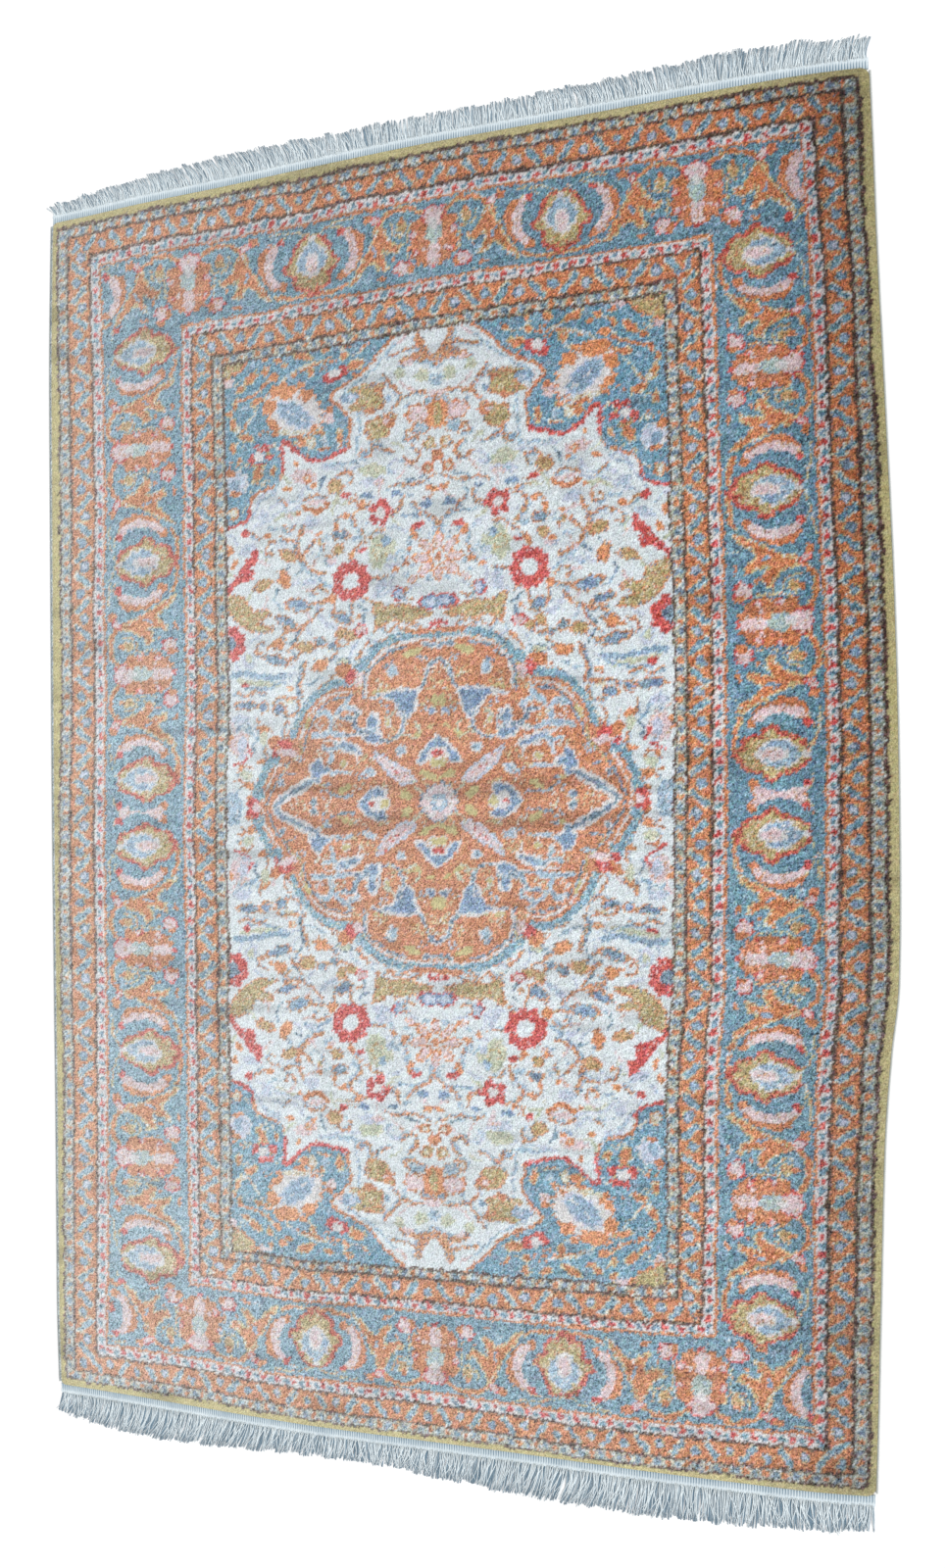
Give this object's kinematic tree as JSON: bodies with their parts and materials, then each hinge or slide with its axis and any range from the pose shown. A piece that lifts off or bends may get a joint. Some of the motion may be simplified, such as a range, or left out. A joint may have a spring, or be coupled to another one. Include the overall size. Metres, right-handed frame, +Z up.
{
  "type": "hereke rug",
  "caption": "Hand-knotted rug lying flat, with a floral medallion field, banded borders, overcast sides and fringed ends.",
  "frame": {"origin": "under the middle of the whole rug, fringes included, at the floor", "axes": "+X across the width, +Y along the length towards the end that is at the top of the picture, +Z up out of the pile"},
  "size_m": [1.2556, 1.9466, 0.0084],
  "materials": {
    "pile_wool": "hand-knotted wool pile, soft low sheen",
    "edge_wool": "overcast wool yarn, matte",
    "warp_cotton": "undyed cotton warp, matte"
  },
  "bodies": {
    "root": {"pile": "pile_wool", "selvedge_left": "edge_wool", "selvedge_right": "edge_wool", "fringe_top": "warp_cotton", "fringe_bottom": "warp_cotton"}
  },
  "joints": []
}
